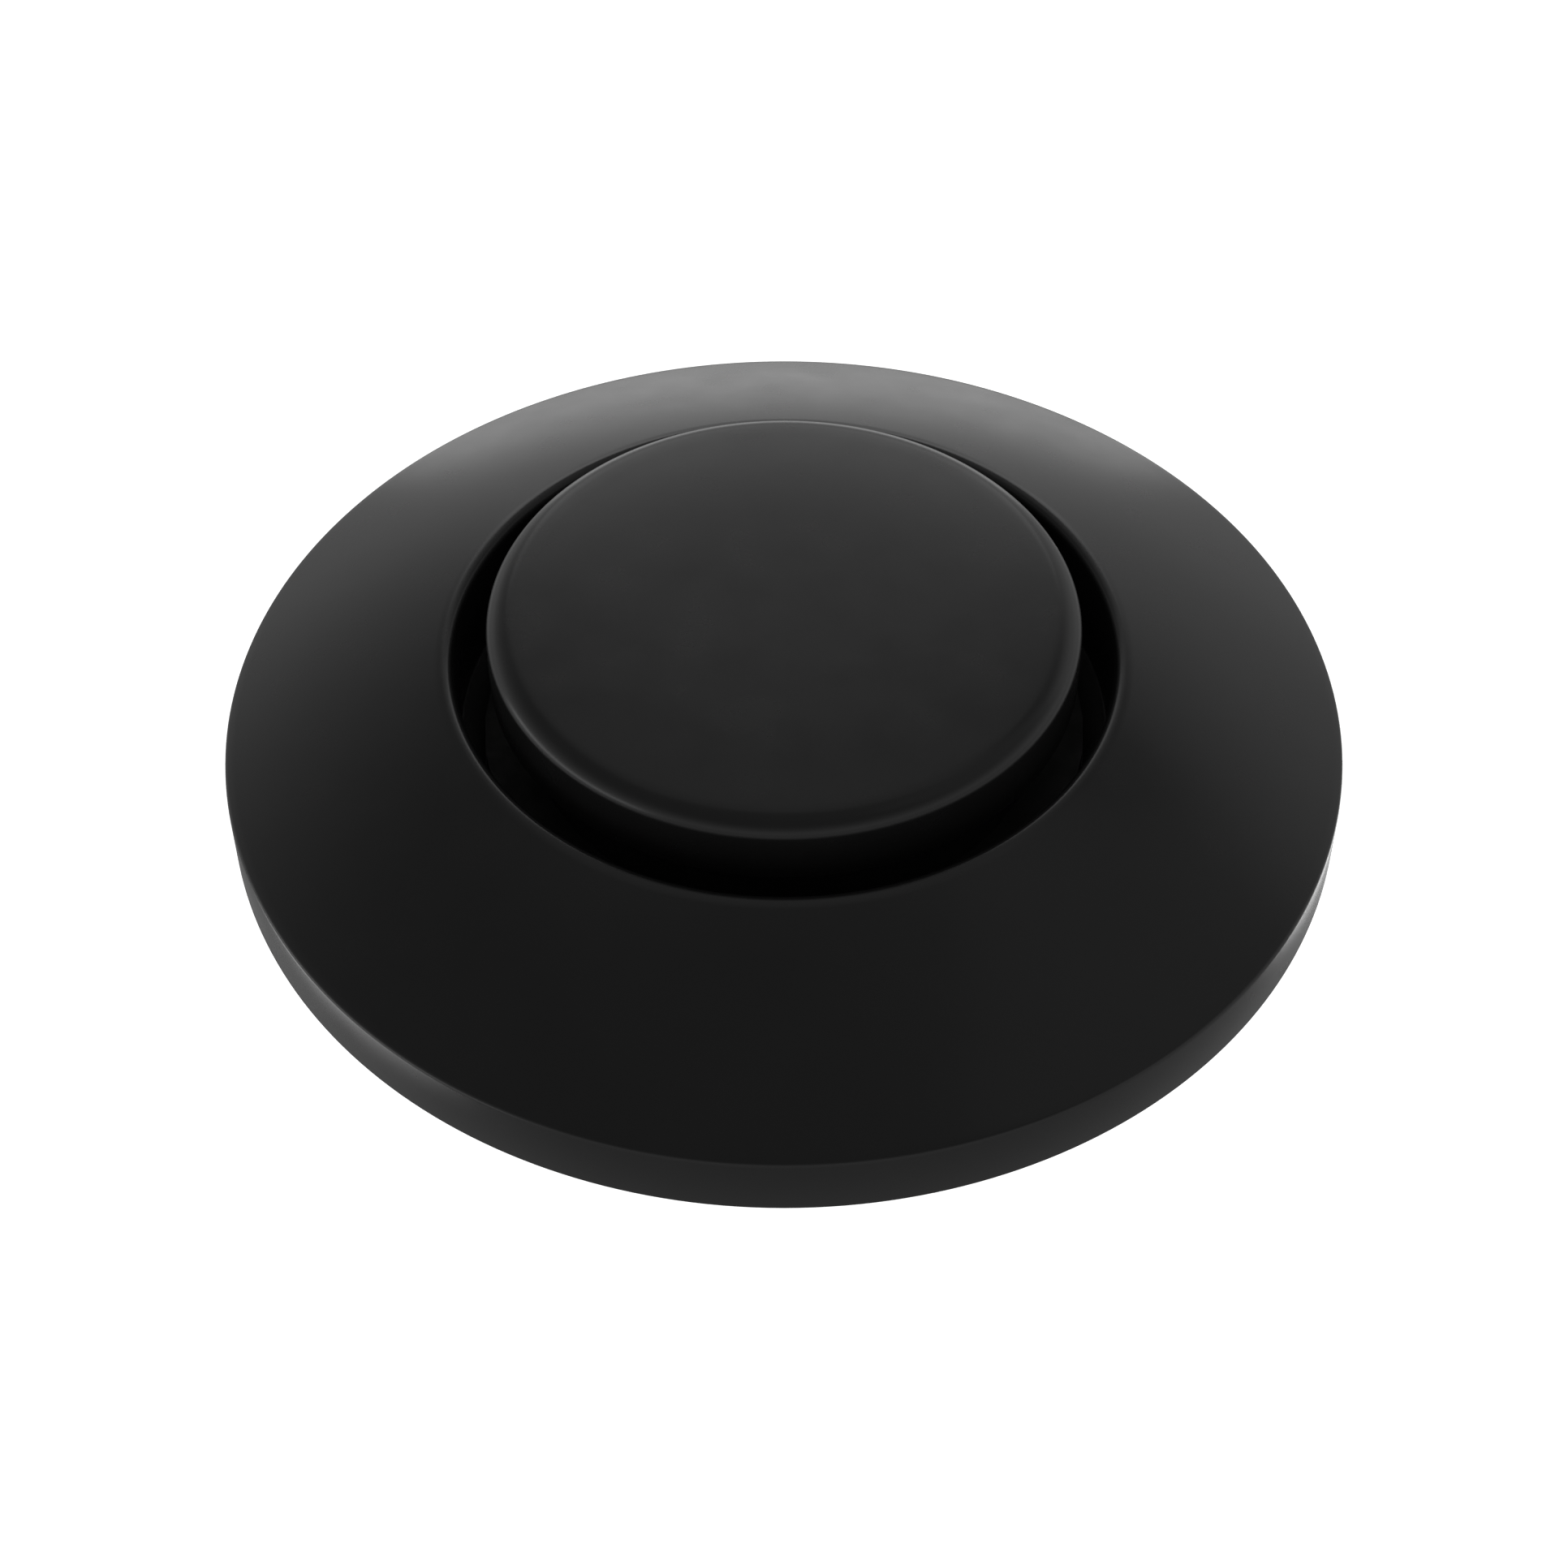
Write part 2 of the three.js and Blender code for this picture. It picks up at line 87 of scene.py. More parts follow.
def spaced(start, end, count):
    """count numbers from start to end, both included."""
    return [start + (end - start) * i / (count - 1) for i in range(count)]


def even_angles(count):
    return [TAU * i / count for i in range(count)]


def rounded(corners, closed=True, steps=4):
    """An outline of (r, z) points from corners (r, z) or (r, z, radius of the corner's round)."""
    points = []
    last = len(corners) - 1
    for i, corner in enumerate(corners):
        here = Vector(corner[:2])
        radius = corner[2] if len(corner) == 3 else 0
        if not radius or (not closed and i in (0, last)):
            points.append(tuple(here))
            continue
        before = (Vector(corners[i - 1][:2]) - here).normalized()
        after = (Vector(corners[(i + 1) % len(corners)][:2]) - here).normalized()
        half = before.angle(after) / 2
        start = here + before * radius / math.tan(half)
        end = here + after * radius / math.tan(half)
        centre = here + (before + after).normalized() * radius / math.sin(half)
        first = math.atan2(start.y - centre.y, start.x - centre.x)
        turn = math.atan2(end.y - centre.y, end.x - centre.x) - first
        turn = (turn + math.pi) % TAU - math.pi
        for angle in spaced(first, first + turn, steps + 1):
            points.append((centre.x + radius * math.cos(angle), centre.y + radius * math.sin(angle)))
    return points


def make_object(name, bm):
    """A smooth-shaded object from bm, which it uses up."""
    bmesh.ops.remove_doubles(bm, verts=bm.verts, dist=1e-8)
    bmesh.ops.recalc_face_normals(bm, faces=bm.faces)
    mesh = bpy.data.meshes.new(name)
    bm.to_mesh(mesh)
    bm.free()
    mesh.polygons.foreach_set("use_smooth", [True] * len(mesh.polygons))
    mesh.set_sharp_from_angle(angle=SHARP_ABOVE)
    piece = bpy.data.objects.new(name, mesh)
    bpy.context.scene.collection.objects.link(piece)
    return piece


def turned(outline, angles, closed=True, bm=None):
    """Sweeps an outline about Z. outline is a list of (r, z), or makes one from an angle; an outline that
    isn't closed starts and ends on the axis."""
    bm = bm or bmesh.new()
    rings = []
    for angle in angles:
        section = outline(angle) if callable(outline) else outline
        rings.append([
            bm.verts.new((r * math.cos(angle) * MM, r * math.sin(angle) * MM, z * MM)) for r, z in section
        ])
    count = len(rings[0])
    for i, here in enumerate(rings):
        following = rings[(i + 1) % len(rings)]
        for j in range(count if closed else count - 1):
            k = (j + 1) % count
            bm.faces.new((here[j], following[j], following[k], here[k]))
    return bm


def tube(path, wire, sides):
    """A round wire along a list of (point in millimetres, outward direction) pairs, with its ends closed."""
    bm = bmesh.new()
    rings = []
    for i, (point, outward) in enumerate(path):
        ahead = path[min(i + 1, len(path) - 1)][0] - path[max(i - 1, 0)][0]
        side = ahead.cross(outward).normalized()
        out = side.cross(ahead).normalized()
        rings.append([
            bm.verts.new((point + (out * math.cos(a) + side * math.sin(a)) * wire) * MM)
            for a in even_angles(sides)
        ])
    for here, following in zip(rings, rings[1:]):
        for j in range(sides):
            k = (j + 1) % sides
            bm.faces.new((here[j], here[k], following[k], following[j]))
    bm.faces.new(rings[0])
    bm.faces.new(reversed(rings[-1]))
    return bm


def block(bm, size, at, angle, bevel):
    """Adds a bevelled block to bm: its size and its middle in millimetres, turned about Z."""
    made = bmesh.ops.create_cube(bm, size=1)["verts"]
    place = Matrix.Rotation(angle, 4, "Z") @ Matrix.Translation(at) @ Matrix.Diagonal((*size, 1))
    bmesh.ops.transform(bm, verts=made, matrix=Matrix.Scale(MM, 4) @ place)
    edges = list({e for v in made for e in v.link_edges})
    bmesh.ops.bevel(bm, geom=edges, offset=bevel * MM, segments=2, affect="EDGES")


def thread(bm, root_r, crest_r, start, end, phase=0.0):
    """Adds a right-hand thread's ridge to bm, on a wall of radius root_r. It runs out at both ends."""
    root_half, crest_half = 0.63, 0.3  # half the ridge's width at the wall and at its crest
    edge = 0.08
    steps_per_turn = 96
    depth = crest_r - root_r
    bite = math.copysign(0.1, depth)  # how far the ridge's foot is sunk into the wall
    foot_half = root_half + (root_half - crest_half) * bite / depth
    low, high = start + foot_half, end - foot_half
    count = round((high - low) / PITCH * steps_per_turn)
    runout = steps_per_turn / 4
    rings = []
    for i, z in enumerate(spaced(low, high, count + 1)):
        rise = clamp(min(i, count - i) / runout, 0.02)
        r = root_r - bite + (depth + bite) * rise
        angle = TAU * (z - phase) / PITCH
        section = rounded([
            (root_r - bite, z - foot_half), (r, z - crest_half, edge * rise),
            (r, z + crest_half, edge * rise), (root_r - bite, z + foot_half),
        ], closed=False, steps=2)
        rings.append([
            bm.verts.new((x * math.cos(angle) * MM, x * math.sin(angle) * MM, y * MM)) for x, y in section
        ])
    for here, following in zip(rings, rings[1:]):
        for j in range(len(here)):
            k = (j + 1) % len(here)
            bm.faces.new((here[j], following[j], following[k], here[k]))
    bm.faces.new(rings[0])
    bm.faces.new(reversed(rings[-1]))
    return bm


def combine(bm, other, operation):
    """The solid made from two others by a Boolean operation. It uses both up."""
    pieces = [make_object("scrap", part) for part in (bm, other)]
    modifier = pieces[0].modifiers.new("combine", "BOOLEAN")
    modifier.operation = operation
    modifier.object = pieces[1]
    result = bmesh.new()
    result.from_object(pieces[0], bpy.context.evaluated_depsgraph_get())
    for piece in pieces:
        bpy.data.objects.remove(piece)
    return result


def at_screws(outline):
    """Turned solids from an outline that starts and ends on the axis, one on each screw's axis."""
    bm = bmesh.new()
    for node in SCREWS:
        low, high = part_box(node)
        known = set(bm.verts)
        turned(outline, even_angles(32), closed=False, bm=bm)
        middle = (low + high) / 2
        bmesh.ops.translate(bm, verts=[v for v in bm.verts if v not in known], vec=(middle.x, middle.y, 0))
    return bm


# ---- Materials ---------------------------------------------------------------------------------------
class Nodes:
    """A new material's node tree, with short calls to add to it."""

    def __init__(self, name):
        self.material = bpy.data.materials.new(name)
        self.material.use_nodes = True
        self.tree = self.material.node_tree
        self.shader = self.tree.nodes["Principled BSDF"]
        self.place = self.add("ShaderNodeTexCoord").outputs["Object"]

    def add(self, kind):
        return self.tree.nodes.new(kind)

    def link(self, start, end):
        self.tree.links.new(start, end)

    def noise(self, size_mm, detail, stretch=(1, 1, 1)):
        """Noise of that feature size, stretched along each axis."""
        mapping = self.add("ShaderNodeMapping")
        mapping.inputs["Scale"].default_value = stretch
        self.link(self.place, mapping.inputs["Vector"])
        node = self.add("ShaderNodeTexNoise")
        node.inputs["Scale"].default_value = 1 / (size_mm * MM)
        node.inputs["Detail"].default_value = detail
        self.link(mapping.outputs["Vector"], node.inputs["Vector"])
        return node.outputs["Fac"]

    def spread(self, source, low, high):
        """source, which runs from about 0.3 to 0.7, mapped to low and high."""
        node = self.add("ShaderNodeMapRange")
        node.inputs["From Min"].default_value = 0.3
        node.inputs["From Max"].default_value = 0.7
        node.inputs["To Min"].default_value = low
        node.inputs["To Max"].default_value = high
        self.link(source, node.inputs["Value"])
        return node.outputs["Result"]

    def tint(self, source, dark, light):
        """A colour between dark and light, by source."""
        ramp = self.add("ShaderNodeValToRGB")
        ramp.color_ramp.elements[0].position = 0.3
        ramp.color_ramp.elements[0].color = (*dark, 1)
        ramp.color_ramp.elements[1].position = 0.7
        ramp.color_ramp.elements[1].color = (*light, 1)
        self.link(source, ramp.inputs["Fac"])
        self.link(ramp.outputs["Color"], self.shader.inputs["Base Color"])

    def bump(self, source, height_mm):
        node = self.add("ShaderNodeBump")
        node.inputs["Distance"].default_value = height_mm * MM
        self.link(source, node.inputs["Height"])
        self.link(node.outputs["Normal"], self.shader.inputs["Normal"])


def plastic(name, dark, light, rough, grain_mm, grain_height, ior=1.5):
    """Moulded plastic: a fine eroded-mould grain, with slow changes of shade and gloss."""
    n = Nodes(name)
    n.shader.inputs["IOR"].default_value = ior
    n.tint(n.noise(6.0, 3.0), dark, light)
    n.link(n.spread(n.noise(2.5, 4.0), *rough), n.shader.inputs["Roughness"])
    n.bump(n.noise(grain_mm, 3.0), grain_height)
    return n.material


def rubber(name, dark, light, grain_mm, grain_height):
    """Moulded rubber: matte, slightly mottled, with a soft uneven surface."""
    n = Nodes(name)
    n.shader.inputs["IOR"].default_value = 1.45
    n.tint(n.noise(1.8, 5.0), dark, light)
    n.link(n.spread(n.noise(0.9, 4.0), 0.68, 0.86), n.shader.inputs["Roughness"])
    n.bump(n.noise(grain_mm, 4.0), grain_height)
    return n.material


def metal(name, dark, light, rough, stretch, grain_mm, grain_height):
    """Drawn or turned metal: fine tool lines, stretched along the work, with slow changes of shade."""
    n = Nodes(name)
    n.shader.inputs["Metallic"].default_value = 1.0
    n.tint(n.noise(3.0, 4.0), dark, light)
    lines = n.noise(grain_mm, 3.0, stretch)
    n.link(n.spread(lines, *rough), n.shader.inputs["Roughness"])
    n.bump(lines, grain_height)
    return n.material


def grey(value):
    return (value, value, value)


MATERIALS = {
    "satin_black_plastic": plastic(
        "satin_black", grey(0.0075), grey(0.009),
        rough=(0.24, 0.28), grain_mm=0.12, grain_height=0.0012, ior=1.45,
    ),
    "black_nylon": plastic(
        "black_nylon", grey(0.009), grey(0.013),
        rough=(0.52, 0.64), grain_mm=0.22, grain_height=0.006,
    ),
    "dark_acetal": plastic(
        "dark_acetal", grey(0.024), (0.031, 0.032, 0.034),
        rough=(0.3, 0.42), grain_mm=0.3, grain_height=0.003,
    ),
    "black_rubber": rubber("black_rubber", grey(0.007), grey(0.013), grain_mm=0.25, grain_height=0.01),
    "spring_steel": metal(
        "spring_steel", (0.4, 0.41, 0.42), (0.56, 0.57, 0.58),
        rough=(0.2, 0.38), stretch=(1, 1, 1), grain_mm=0.2, grain_height=0.002,
    ),
    "screw_steel": metal(
        "screw_steel", (0.3, 0.3, 0.31), (0.42, 0.42, 0.43),
        rough=(0.25, 0.45), stretch=(1, 1, 6), grain_mm=0.3, grain_height=0.003,
    ),
    "brass": metal(
        "brass", (0.46, 0.28, 0.075), (0.6, 0.39, 0.12),
        rough=(0.16, 0.34), stretch=(1, 1, 9), grain_mm=1.4, grain_height=0.004,
    ),
}
SLOTS = {s["node"]: s["material_slot"] for s in frame["record"]["subparts"]}
BODIES = {n: body for body, nodes in frame["record"]["behaviour"]["bodies"].items() for n in nodes}


def stand_for(node, bm):
    """Makes bm the shown piece for a CAD node: same body, same material slot."""
    piece = make_object(f"{node}_shown", bm)
    piece.data.materials.append(MATERIALS[SLOTS[node]])
    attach(piece, BODIES[node])
    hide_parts(node)
    return piece


# ---- Bezel and cap -----------------------------------------------------------------------------------
def bezel():
    lip_r = BORE_R + 0.36  # where the domed face's own curve starts
    lip_z = BEZEL_TOP + 0.01
    lip_round = 0.42
    lip_slope = math.tan(math.radians(19))
    wall_r = BORE_R - 0.07
    # How much the face's fall steepens on its way out, so that it ends at the rim's top.
    bow = (lip_z - RIM_TOP - lip_slope * (BEZEL_R - lip_r)) / (BEZEL_R - lip_r) ** 2
    hub_r = BORE_R + 1.6
    hub_top = BEZEL_TOP - 1.85
    pocket_r = FLANGE_R + 0.2
    ledge = FLANGE_TOP + 0.05

    def face(r):
        out = r - lip_r
        return (r, lip_z - lip_slope * out - bow * out * out)

    body = turned(rounded([
        (BEZEL_R, RIM_BOTTOM, 0.15),
        (BEZEL_R, RIM_TOP, 0.25),
        *[face(r) for r in spaced(BEZEL_R - 0.45, lip_r + 0.4, 30)],
        (wall_r, lip_z + lip_slope * (lip_r - wall_r), lip_round),
        (wall_r, ledge, 0.1),
        (hub_r, ledge, 0.1),
        (hub_r, hub_top, 0.2),
        (pocket_r - 1.2, ledge, 0.2),
        (pocket_r, ledge, 0.1),
        (pocket_r, RIM_BOTTOM, 0.1),
    ]), even_angles(256))
    boss_r, boss_top = 2.0, 5.0
    hole_r, hole_top = 1.05, SCREW_TOP + 0.1
    boss = rounded([(0, ledge), (boss_r, ledge, 0.1), (boss_r, boss_top), (0, boss_top)], closed=False)
    hole = [(0, 0), (hole_r, 0), (hole_r, hole_top), (0, hole_top)]
    return combine(combine(body, at_screws(boss), "UNION"), at_screws(hole), "DIFFERENCE")


def button_cap():
    shown_r = CAP_R + 0.07  # the cap looks a little larger than its CAD solid
    inner_r = CAP_R - 1.3
    ceiling = CAP_TOP - 1.7
    crown = 0.24
    fillet_w, fillet_h = 1.1, 0.8

    def top(r):
        """The top's height: a slight crown, and an elliptical fillet down to the cap's side."""
        into = max(r - shown_r + fillet_w, 0) / fillet_w
        return CAP_TOP - crown * (r / shown_r) ** 4 - fillet_h * (1 - math.sqrt(1 - min(into, 1) ** 2))

    fillet = [shown_r - fillet_w * (1 - math.sin(turn)) for turn in spaced(math.pi / 2, 0, 15)]
    return turned(rounded([
        (0, ceiling),
        (inner_r, ceiling, 0.3),
        (inner_r, SKIRT_BOTTOM, 0.1),
        (shown_r, SKIRT_BOTTOM, 0.15),
        *[(r, top(r)) for r in fillet],
        *[(r, top(r)) for r in spaced(shown_r - fillet_w - 0.5, 0.5, 20)],
        (0, CAP_TOP),
    ], closed=False), even_angles(256), closed=False)


# ---- Plunger, bellows and spring ---------------------------------------------------------------------
def plunger():
    stop_r, bottom, top = extent("plunger")
    r = CAP_R - 1.5
    wall_r = 9.7
    ceiling = top - 1.5
    stop_top = -0.05
    groove_r = r - 0.55
    groove_z = top - 0.8
    groove_half = 0.41
    return turned(rounded([
        (0, ceiling),
        (wall_r, ceiling, 0.3),
        (wall_r, bottom, 0.1),
        (stop_r, bottom, 0.15),
        (stop_r, stop_top, 0.1),
        (r, stop_top, 0.1),
        (r, groove_z - groove_half, 0.06),
        (groove_r, groove_z - groove_half, 0.06),
        (groove_r, groove_z + groove_half, 0.06),
        (r, groove_z + groove_half, 0.06),
        (r, top, 0.2),
        (0, top),
    ], closed=False), even_angles(144), closed=False)


def bellows():
    foot_r, bottom, top = extent("bellows")
    crest_r, root_r, wall, folds = 8.3, 6.4, 0.6, 4
    port_r = 2.0
    foot_top = bottom + 1
    fold_bottom, fold_top = bottom + 1.4, top - 1.2

    def wave(inset, heights):
        """The folded wall's points at those heights, moved in by inset."""
        for z in heights:
            share = (z - fold_bottom) / (fold_top - fold_bottom)
            swing = (1 - math.cos(TAU * folds * share)) / 2
            yield (root_r - inset + (crest_r - root_r) * swing, z)

    up = spaced(fold_bottom, fold_top, folds * 16 + 1)
    foot = rounded([
        (root_r - wall, bottom + wall),
        (port_r, bottom + wall),
        (port_r, bottom),
        (foot_r, bottom, 0.15),
        (foot_r, foot_top, 0.15),
        (crest_r, foot_top),
    ], closed=False)
    return turned([
        (0, top - wall),
        *wave(wall, reversed(up)),
        *foot,
        *wave(0, up),
        (root_r, top - 0.15),
        (root_r - 0.15, top),
        (0, top),
    ], even_angles(128), closed=False)


def return_spring():
    _, bottom, top = extent("return_spring")
    wire, coil_r, turns, steps, sides = 0.4, 9.1, 7, 64, 16
    closed_pitch = 2 * wire + 0.1  # of the first and last turns, which nearly touch their neighbours
    rise = top - bottom - 2 * wire
    open_pitch = (rise - 2 * closed_pitch) / (turns - 2)
    path = []
    for i in range(turns * steps + 1):
        turn = i / steps
        z = bottom + wire + min(turn, 1) * closed_pitch
        z += clamp(turn - 1, 0, turns - 2) * open_pitch + max(turn - turns + 1, 0) * closed_pitch
        outward = Vector((math.cos(TAU * turn), math.sin(TAU * turn), 0))
        path.append((outward * coil_r + Vector((0, 0, z)), outward))
    return tube(path, wire, sides)


# ---- Housing, plug and nipple ------------------------------------------------------------------------
def threaded_housing():
    core_r, crest_r, chamber_r, guide_r = 13.15, 14.0, 12.0, 11.1
    under = FLANGE_TOP - 2
    groove_inner, groove_outer, groove_floor = 14.3, 15.3, 2.2
    chamfer_r, chamfer_h = 13.9, 0.8
    seal_r, seal_floor = 13.0, 2.0
    body = turned(rounded([
        (chamber_r, 0, 0.1),
        (chamber_r, SHANK_END, 0.1),
        (core_r, SHANK_END, 0.25),
        (core_r, under, 0.25),
        (FLANGE_R, under, 0.2),
        (FLANGE_R, FLANGE_TOP, 0.2),
        (groove_outer, FLANGE_TOP, 0.05),
        (groove_outer, groove_floor),
        (groove_inner, groove_floor),
        (groove_inner, FLANGE_TOP, 0.05),
        (chamfer_r, FLANGE_TOP, 0.05),
        (seal_r, FLANGE_TOP - chamfer_h, 0.05),
        (seal_r, seal_floor),
        (guide_r, seal_floor, 0.05),
        (guide_r, 0, 0.1),
    ]), even_angles(240))
    head_r, head_seat, hole_r = 2.1, 2.2, 1.1
    below, above = -1, FLANGE_TOP + 1
    holes = at_screws([
        (0, below), (head_r, below), (head_r, head_seat), (hole_r, head_seat), (hole_r, above), (0, above),
    ])
    return thread(combine(body, holes, "DIFFERENCE"), core_r, crest_r, SHANK_END + 0.2, under - 0.5)


def end_plug():
    flange_r, hub_end, top = extent("end_plug")
    under = SHANK_END - 1.5
    flange_top = SHANK_END - 0.05
    spigot_r, hub_r, airway_r, socket_r, socket_end = 11.9, 5.5, 1.5, 2.95, -13.15
    groove_r, groove_low, groove_high = 11.2, -12.95, -12.05
    bm = turned(rounded([
        (airway_r, top, 0.1),
        (airway_r, socket_end),
        (socket_r, socket_end),
        (socket_r, hub_end, 0.1),
        (hub_r, hub_end, 0.25),
        (hub_r, under, 0.3),
        (flange_r, under, 0.35),
        (flange_r, flange_top, 0.1),
        (spigot_r, flange_top),
        (spigot_r, groove_low),
        (groove_r, groove_low),
        (groove_r, groove_high),
        (spigot_r, groove_high),
        (spigot_r, top, 0.2),
    ]), even_angles(144))
    gussets = 6
    gusset = (5.6, 1.2, 1.6)
    for angle in even_angles(gussets):
        block(bm, gusset, (hub_r + 2.2, 0, under - 0.4), angle, bevel=0.18)
    return bm


def hose_nipple():
    _, tip, top = extent("hose_nipple")
    bore_r, stem_r, neck_r = 1.0, 2.9, 1.7
    barb_r, barbs, barb_pitch = 2.3, 3, 2.3
    hex_low, hex_high, half_flats = -20.3, -17.8, 4.0
    chamfer_w, chamfer_h, chamfered = 0.75, 0.42, 0.4

    def hexagon(angle, z):
        """The hexagon's radius, with its corners turned down at both faces."""
        off = (angle + TAU / 12) % (TAU / 6) - TAU / 12
        depth = min(z - hex_low, hex_high - z)
        return min(half_flats / math.cos(off), half_flats - 0.05 + depth * chamfer_w / chamfer_h)

    def outline(angle):
        points = [(bore_r, top), (bore_r, tip + 0.15), (bore_r + 0.12, tip)]
        for i in range(barbs):
            low = tip + i * barb_pitch
            points += rounded([
                (neck_r - 0.15, low),
                (neck_r - 0.05, low + 0.02),
                (barb_r, low + barb_pitch * 0.72, 0.06),
                (neck_r, low + barb_pitch * 0.8, 0.1),
                (neck_r, low + barb_pitch * 0.98),
            ], closed=False)
        points += [(neck_r, hex_low - 0.3), (neck_r + 0.3, hex_low)]
        heights = [
            *spaced(hex_low, hex_low + chamfered, 9),
            *spaced(hex_high - chamfered, hex_high, 9),
        ]
        points += [(hexagon(angle, z), z) for z in heights]
        points += [(stem_r, hex_high), (stem_r, top - 0.2), (stem_r - 0.2, top)]
        return points

    return turned(outline, even_angles(144))


# ---- Flat rings and the nut --------------------------------------------------------------------------
def flat_ring(node, inner_r, edge, grooves=0):
    """A washer or gasket in its CAD node's place. grooves are shallow rings moulded into its underside."""
    outer_r, bottom, top = extent(node)
    margin, depth, mouth_half, floor_half = 1.5, 0.12, 0.4, 0.15
    corners = [(inner_r, bottom, edge), (outer_r, bottom, edge), (outer_r, top, edge), (inner_r, top, edge)]
    if grooves:
        under = []
        for r in spaced(inner_r + margin, outer_r - margin, grooves):
            under += [
                (r - mouth_half, bottom),
                (r - floor_half, bottom + depth),
                (r + floor_half, bottom + depth),
                (r + mouth_half, bottom),
            ]
        corners = [corners[0], *under, *corners[1:]]
    return turned(rounded(corners, steps=3), even_angles(192))


def mounting_nut():
    flange_r, bottom, top = extent("mounting_nut")
    bore_r, thread_depth = 14.3, 0.85
    body_r, rib_r, rib_count = 16.3, 17.0, 12
    flange_under = top - 1.3
    rib_half, rib_side = math.radians(2.7), math.radians(0.9)

    def outline(angle):
        off = abs((angle + TAU / rib_count / 2) % (TAU / rib_count) - TAU / rib_count / 2)
        share = clamp((rib_half + rib_side - off) / rib_side)
        side_r = body_r + (rib_r - body_r) * share * share * (3 - 2 * share)
        return rounded([
            (bore_r, top - 0.3),
            (bore_r + 0.3, top),
            (flange_r, top, 0.25),
            (flange_r, flange_under, 0.25),
            (side_r, flange_under, 0.35),
            (side_r, bottom, 0.5),
            (bore_r + 0.4, bottom),
            (bore_r, bottom + 0.4),
        ])

    half_side = (1.4, 2.7, 3.2, 3.6, 4.4, 6, 9, 12)  # degrees from a rib's middle, denser at its side
    per_rib = [-15, *[-a for a in reversed(half_side)], 0, *half_side]
    angles = [TAU * i / rib_count + math.radians(a) for i in range(rib_count) for a in per_rib]
    return thread(turned(outline, angles), bore_r, bore_r - thread_depth, bottom + 0.1, top - 0.1, PITCH / 2)


# ---- The object --------------------------------------------------------------------------------------
stand_for("bezel", bezel())
stand_for("button_cap", button_cap())
stand_for("plunger", plunger())
stand_for("threaded_housing", threaded_housing())
stand_for("end_plug", end_plug())
stand_for("hose_nipple", hose_nipple())
stand_for("mounting_nut", mounting_nut())
stand_for("deck_gasket", flat_ring("deck_gasket", inner_r=14.4, edge=0.2, grooves=3))
stand_for("deck_washer", flat_ring("deck_washer", inner_r=14.35, edge=0.3))
stand_for("thrust_washer", flat_ring("thrust_washer", inner_r=14.35, edge=0.12))
stand_for("nipple_seal", flat_ring("nipple_seal", inner_r=2.95, edge=0.12))

for node, make in (("bellows", bellows), ("return_spring", return_spring)):
    soft = stand_for(node, make())
    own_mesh(soft)

for node, shown in frame["nodes"].items():
    if not shown.hide_render:
        shown.data.materials.clear()
        shown.data.materials.append(MATERIALS[SLOTS[node]])

# ---- Camera ------------------------------------------------------------------------------------------
eye_distance = 5.4161 * BEZEL_R  # from the middle of the bezel's edge
eye_elevation = math.radians(45.62)
edge_centre = Vector((0, 0, RIM_TOP))
eye = edge_centre + Vector((0, -math.cos(eye_elevation), math.sin(eye_elevation))) * eye_distance
target = edge_centre - Vector((0, 0, 0.1874 * BEZEL_R))
camera = bpy.data.objects.new("camera", bpy.data.cameras.new("camera"))
bpy.context.scene.collection.objects.link(camera)
camera.location = eye * MM
camera.rotation_euler = (target - eye).to_track_quat("-Z", "Y").to_euler()
camera.data.sensor_width = 36
camera.data.lens = 68.98
camera.data.clip_start = 0.005  # the part is small and near
camera.data.clip_end = 20
bpy.context.scene.camera = camera

# ---- Floor and light ---------------------------------------------------------------------------------
FLOOR_Z = -0.4


def backdrop():
    """A pale floor that curves up into walls and a ceiling, far from the part. Only the camera sees it: it
    casts nothing on the part."""
    reach, height, corner = 1800, 2600, 600
    bottom = FLOOR_Z / MM
    top = bottom + height
    corners = [(0, bottom), (reach, bottom, corner), (reach, top, corner), (0, top)]
    outline = rounded(corners, closed=False, steps=12)
    made = make_object("floor", turned(outline, even_angles(96), closed=False))
    n = Nodes("floor_paper")
    n.tint(n.noise(60.0, 2.0), grey(0.78), grey(0.82))
    n.shader.inputs["Roughness"].default_value = 0.9
    n.shader.inputs["Emission Color"].default_value = (1, 1, 1, 1)
    n.shader.inputs["Emission Strength"].default_value = 0.9
    made.data.materials.append(n.material)
    for kind in ("diffuse", "glossy", "transmission", "shadow"):
        setattr(made, f"visible_{kind}", False)
    return made


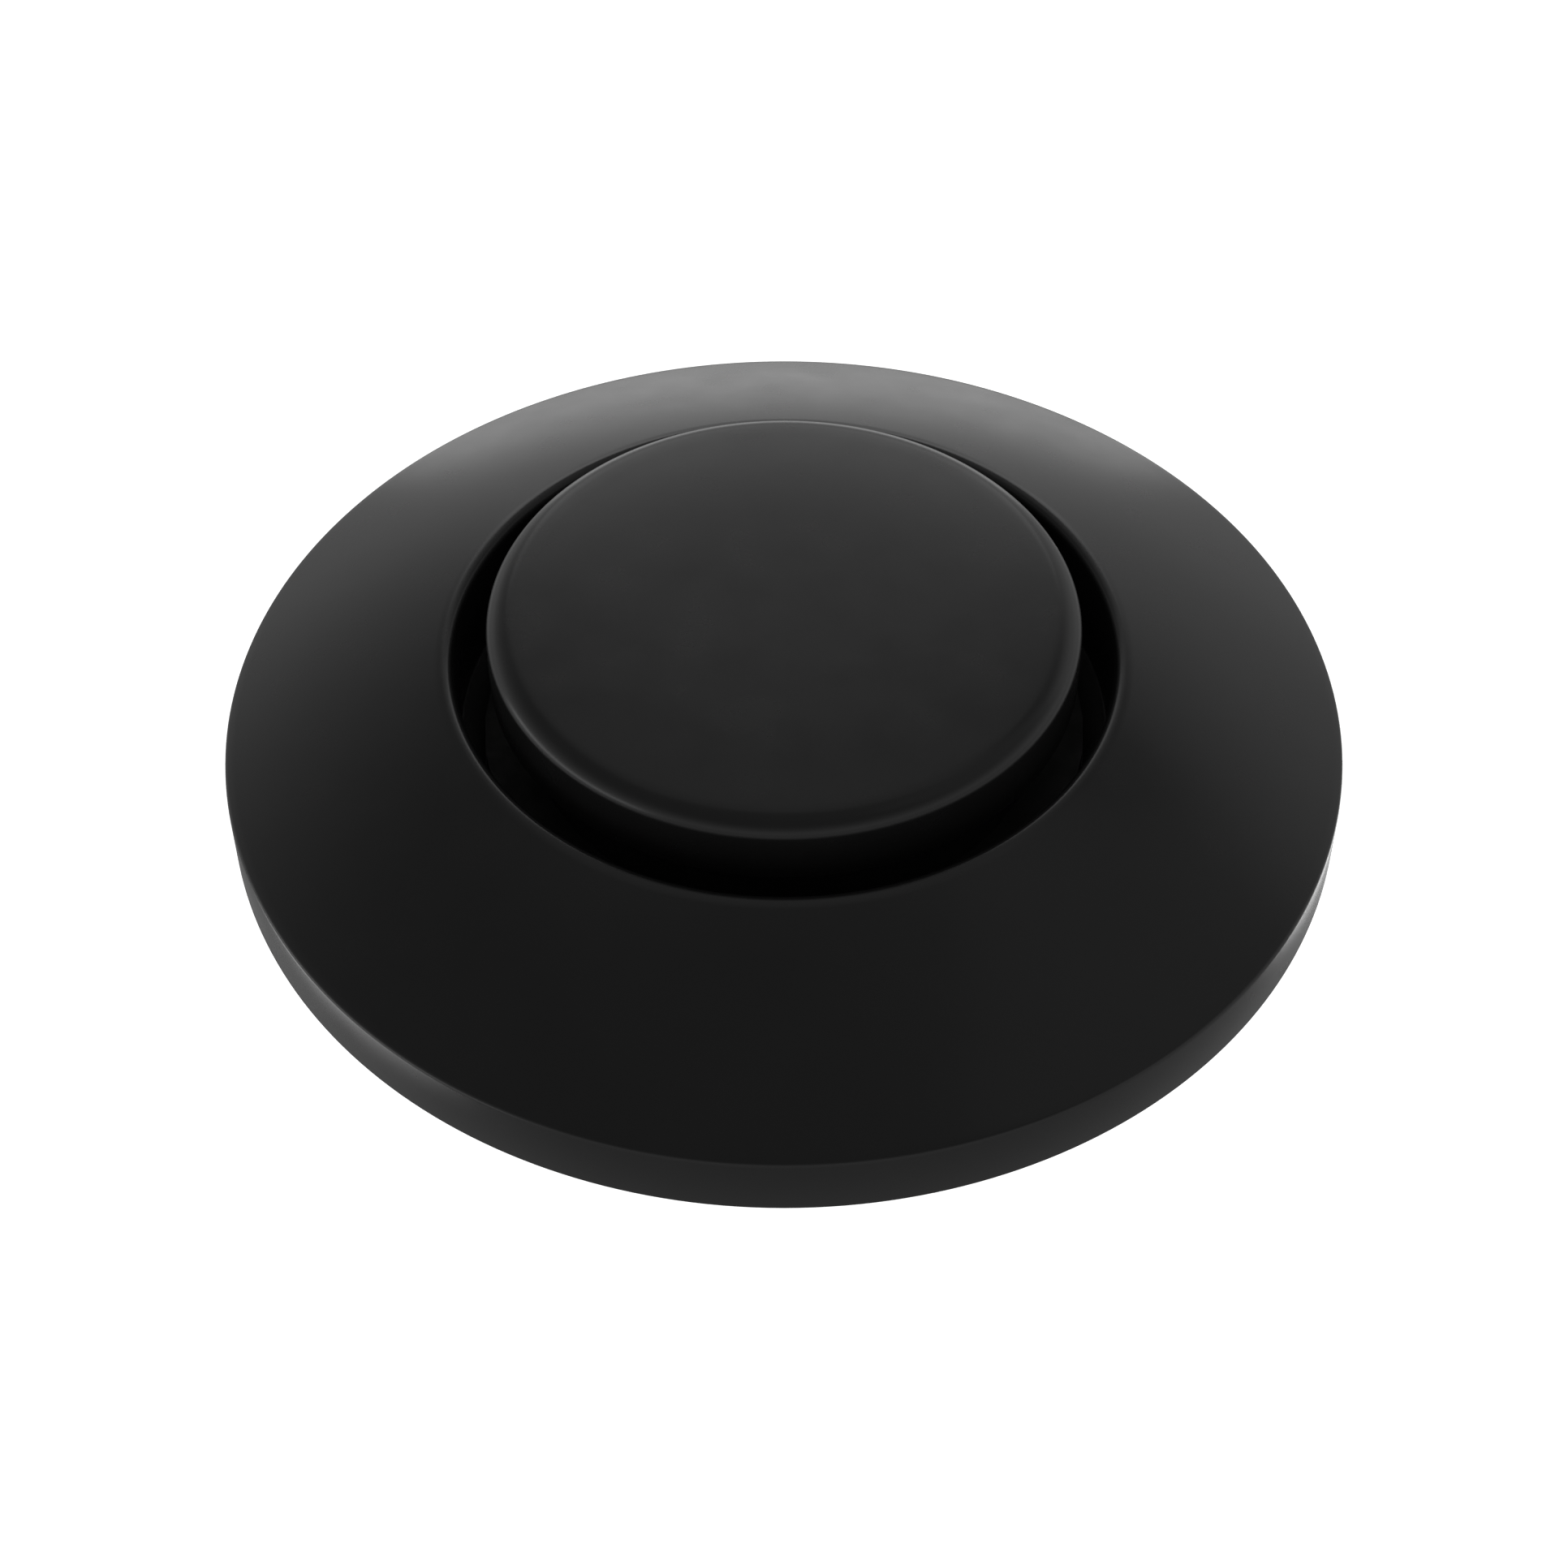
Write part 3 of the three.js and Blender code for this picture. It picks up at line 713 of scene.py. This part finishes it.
def panel(name, azimuth, elevation, radiance, width=1.1, height=0.55):
    """A soft light facing the part, in metres. Azimuth 0 is in front of the part and 90 is to its right."""
    distance = 1.5
    across, up = math.radians(azimuth), math.radians(elevation)
    direction = Vector((math.sin(across) * math.cos(up), -math.cos(across) * math.cos(up), math.sin(up)))
    lamp = bpy.data.lights.new(name, "AREA")
    lamp.shape = "RECTANGLE"
    lamp.size, lamp.size_y = width, height
    lamp.energy = radiance * math.pi * width * height
    holder = bpy.data.objects.new(name, lamp)
    bpy.context.scene.collection.objects.link(holder)
    holder.location = direction * distance
    holder.rotation_euler = (-direction).to_track_quat("-Z", "Y").to_euler()
    holder.visible_camera = False


def studio_world(glow):
    """Soft light from all round, by elevation: glow is a list of (degrees above the horizon, brightness)."""
    world = bpy.data.worlds.new("studio")
    world.use_nodes = True
    tree = world.node_tree
    direction = tree.nodes.new("ShaderNodeTexCoord").outputs["Generated"]
    axes = tree.nodes.new("ShaderNodeSeparateXYZ")
    share = tree.nodes.new("ShaderNodeMapRange")
    share.inputs["From Min"].default_value = -1
    ramp = tree.nodes.new("ShaderNodeValToRGB")
    tree.links.new(direction, axes.inputs["Vector"])
    tree.links.new(axes.outputs["Z"], share.inputs["Value"])
    tree.links.new(share.outputs["Result"], ramp.inputs["Fac"])
    tree.links.new(ramp.outputs["Color"], tree.nodes["Background"].inputs["Color"])
    stops = ramp.color_ramp.elements
    for i, (elevation, brightness) in enumerate(glow):
        at = (math.sin(math.radians(elevation)) + 1) / 2
        stop = stops[i] if i < 2 else stops.new(at)
        stop.position = at
        stop.color = (*grey(brightness), 1)
    bpy.context.scene.world = world


backdrop()
panel("back_low", 180, -8, 0.85, height=0.4)
panel("back_high", 180, 27, 0.93)
panel("back_right", 135, 27, 0.2)
panel("back_top", 180, 35, 0.6, width=0.55, height=0.3)
panel("right_top", 90, 55, 0.12, width=1.2, height=0.8)
panel("back_upper", 180, 66, 0.17, width=1.2, height=0.9)
panel("left_low", 284, -3, 1.5, width=1.7, height=0.3)
panel("bounce_right", 135, -35, 2.4, width=1.0, height=0.6)
panel("bounce_left", 270, -35, 1.9, width=1.0, height=0.6)
studio_world([
    (-90, 0.23), (-45, 0.27), (-18, 0.5), (-3, 0.42), (5, 0.66),
    (18, 0.46), (30, 0.3), (43, 0.17), (55, 0.17), (90, 0.2),
])
bpy.context.scene.view_settings.view_transform = "Standard"
